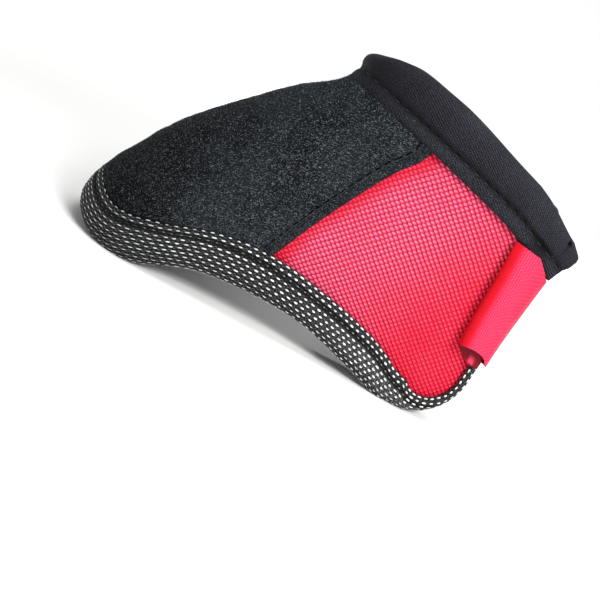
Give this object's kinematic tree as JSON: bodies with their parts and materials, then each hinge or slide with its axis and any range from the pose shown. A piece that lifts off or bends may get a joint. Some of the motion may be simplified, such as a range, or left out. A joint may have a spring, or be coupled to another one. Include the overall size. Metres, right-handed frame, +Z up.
{
  "type": "horse bell boot",
  "caption": "Flared wrap-round hoof boot standing on its rim: padded wall with a lapped closing flap, black toe panel, woven rim binding, padded collar and a pull tab.",
  "frame": {"origin": "middle of the boot's box, on the floor that its rim stands on", "axes": "+Z up towards the collar, +X towards the heel and the flap's free edge, -X towards the toe, -Y the side that the flap closes on"},
  "size_m": [0.231, 0.0875, 0.1461],
  "materials": {
    "red_nylon": "coarse woven nylon on foam, satin",
    "brushed_loop": "brushed loop fabric, matt",
    "flecked_tape": "woven tape, black with white flecks",
    "collar_jersey": "fine jersey over foam, matt",
    "red_satin_tape": "fine woven nylon strip, satin"
  },
  "bodies": {
    "root": {"shell": "red_nylon", "toe_panel": "brushed_loop", "binding": "flecked_tape", "collar": "collar_jersey", "pull_tab": "red_satin_tape"}
  },
  "joints": []
}
